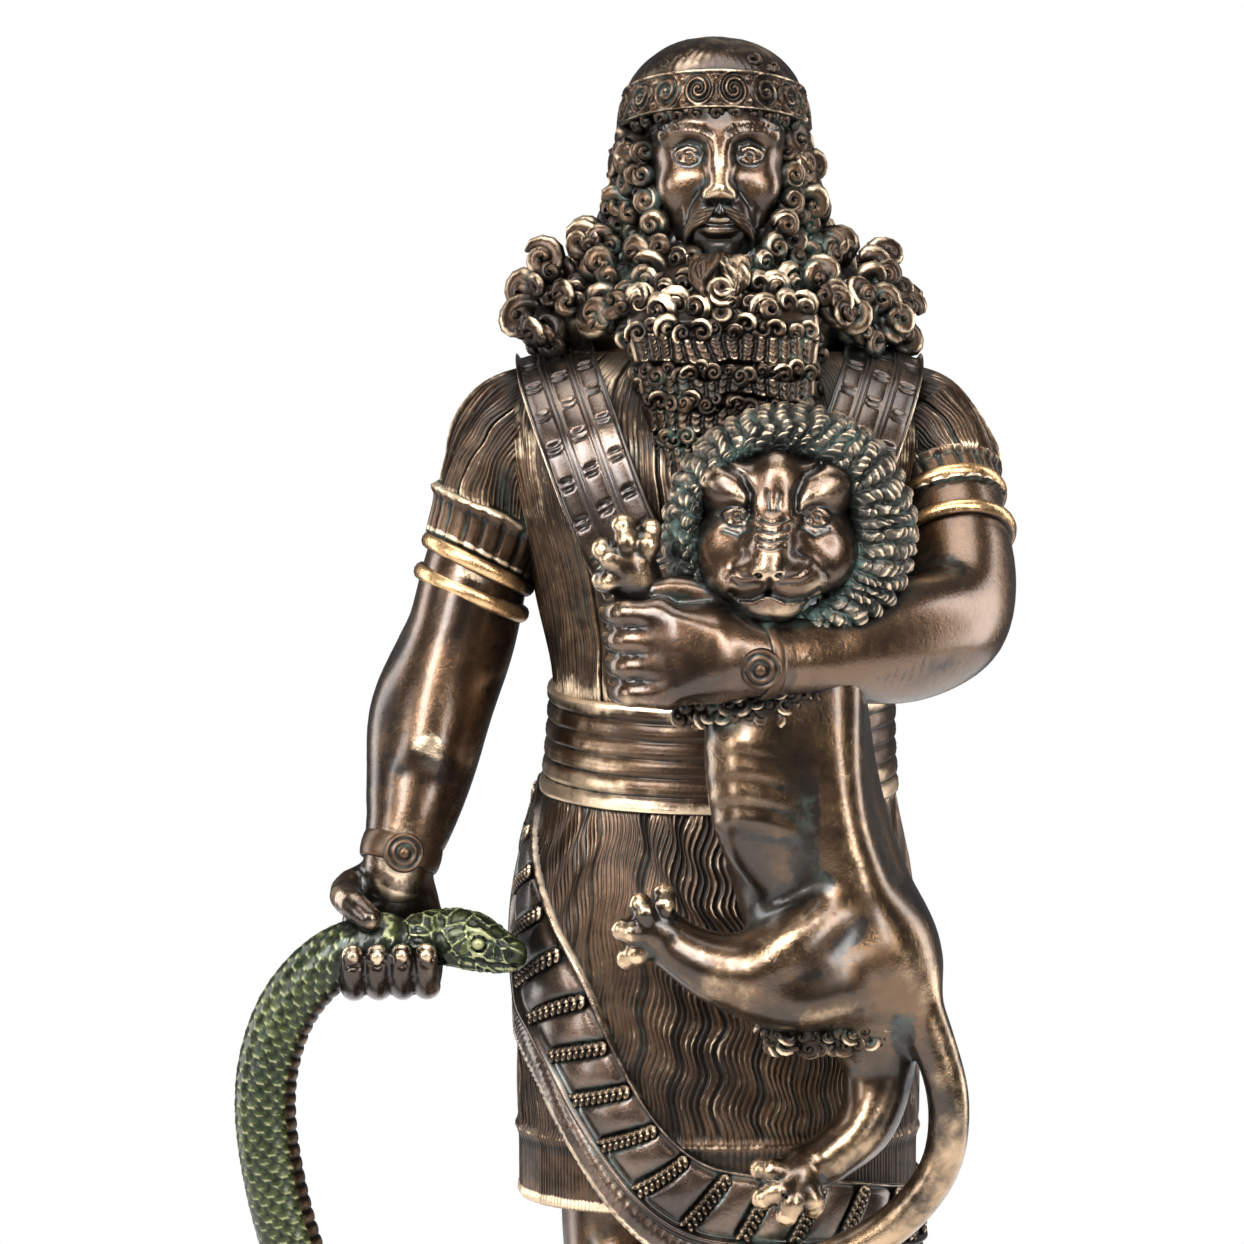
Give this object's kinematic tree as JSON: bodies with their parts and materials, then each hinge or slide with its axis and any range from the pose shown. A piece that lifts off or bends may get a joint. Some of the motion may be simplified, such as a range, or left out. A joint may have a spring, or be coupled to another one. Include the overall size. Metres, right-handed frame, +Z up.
{
  "type": "statuette",
  "caption": "Bronze-finished souvenir statuette of an ancient bearded hero who holds a lion cub on the left arm and a snake in the right fist, standing on a low plinth.",
  "frame": {"origin": "centre of the plinth's underside", "axes": "+Z up along the standing figure, whose front faces -Y, with its left arm and the lion cub on the +X side and the snake on the -X side"},
  "size_m": [0.1288, 0.0991, 0.265],
  "materials": {
    "bronze": "dark brown antique bronze, rubbed bright on the raised parts, with traces of verdigris in the hollows",
    "snake_green": "green patina wash over bronze, satin"
  },
  "bodies": {
    "root": {"figure": "bronze", "snake": "snake_green", "plinth": "bronze"}
  },
  "joints": []
}
